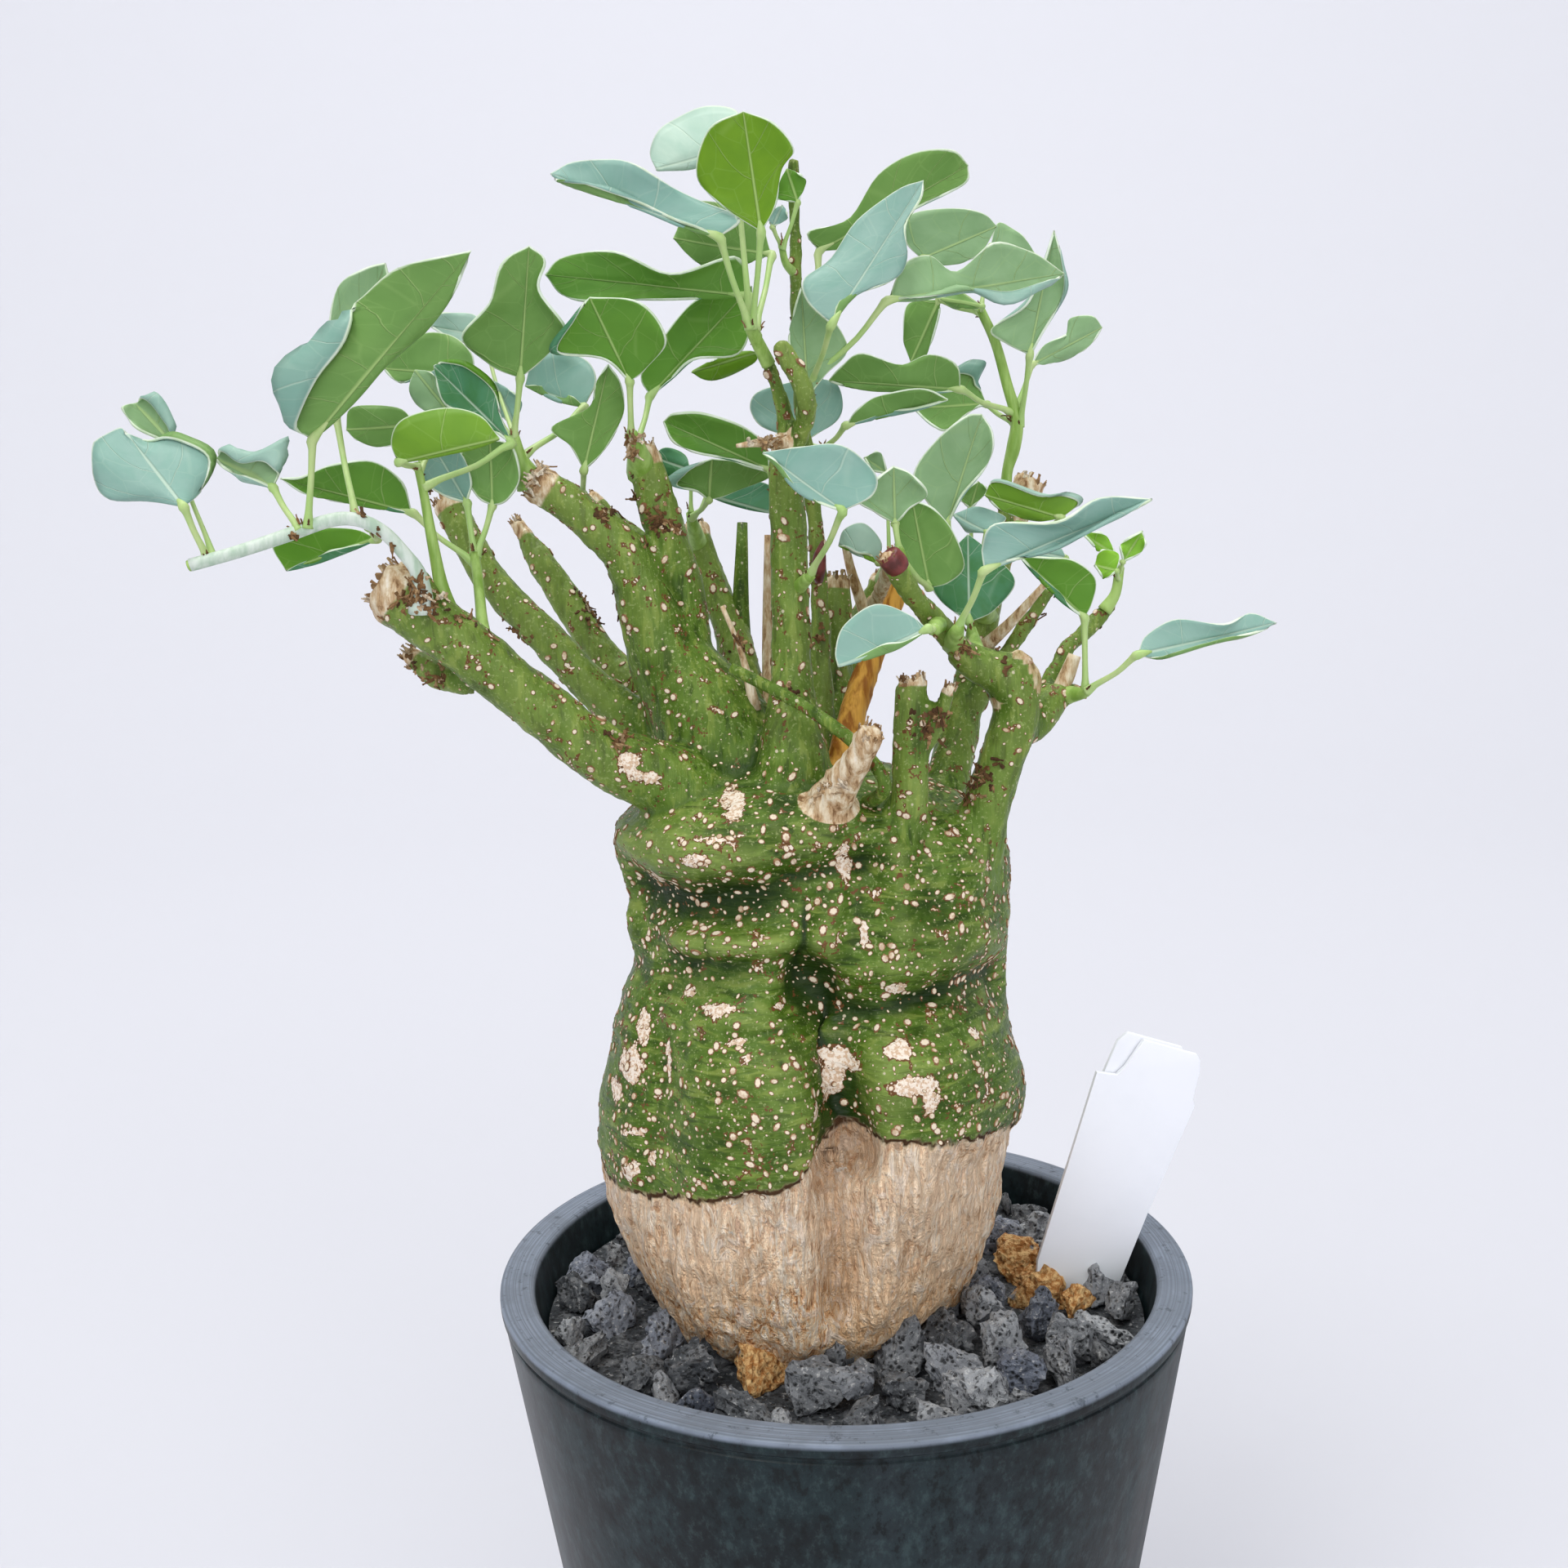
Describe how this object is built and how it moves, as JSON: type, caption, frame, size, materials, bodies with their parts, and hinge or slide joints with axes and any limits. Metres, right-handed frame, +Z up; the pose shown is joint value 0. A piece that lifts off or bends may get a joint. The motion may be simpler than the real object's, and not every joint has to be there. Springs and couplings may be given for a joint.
{
  "type": "potted adenia",
  "caption": "Caudex succulent with a swollen lobed green trunk, cut stubs and wavy leafy shoots, in a tapered black nursery pot of lava grit with blank plant tags.",
  "frame": {"origin": "centre of the pot's underside, on the surface that the pot stands on", "axes": "+Z up along the pot's axis, -Y towards the pictured side, +X to the right in the picture"},
  "size_m": [0.1544, 0.1044, 0.2634],
  "materials": {
    "pot_plastic": "dull black polypropylene, mottled and scratched",
    "lava_grit": "rough porous lava stone, dark grey",
    "caudex_bark": "green living bark with cream lenticels, bare tan cork at the base",
    "leaf": "thick waxy leaf, glaucous above and green below",
    "tag_plastic": "white satin sheet plastic with clear tape"
  },
  "bodies": {
    "root": {"pot": "pot_plastic", "lava_grit": "lava_grit", "caudex": "caudex_bark", "tag_front": "tag_plastic", "tag_rear": "tag_plastic", "shoot_left_long": "leaf", "shoot_left_upright": "leaf", "shoot_left_pair": "leaf", "shoot_fourth_limb": "leaf", "shoot_fork_tip": "leaf", "leaf_between": "leaf", "shoot_centre_twig": "leaf", "leaf_flower_stem_top": "leaf", "shoot_flower_stem": "leaf", "leaf_loop_rear": "leaf", "shoot_right_tall": "leaf", "leaf_centre_front": "leaf", "leaf_rear_right": "leaf", "shoot_elbow_tip": "leaf", "shoot_back_limb": "leaf", "leaf_elbow_rear": "leaf", "leaf_elbow_right": "leaf", "leaf_elbow_left": "leaf", "shoot_back_knob": "leaf", "shoot_outer_node": "leaf", "shoot_outer_twig": "leaf", "shoot_rear_limb": "leaf", "leaf_centre_rear": "leaf"}
  },
  "joints": []
}
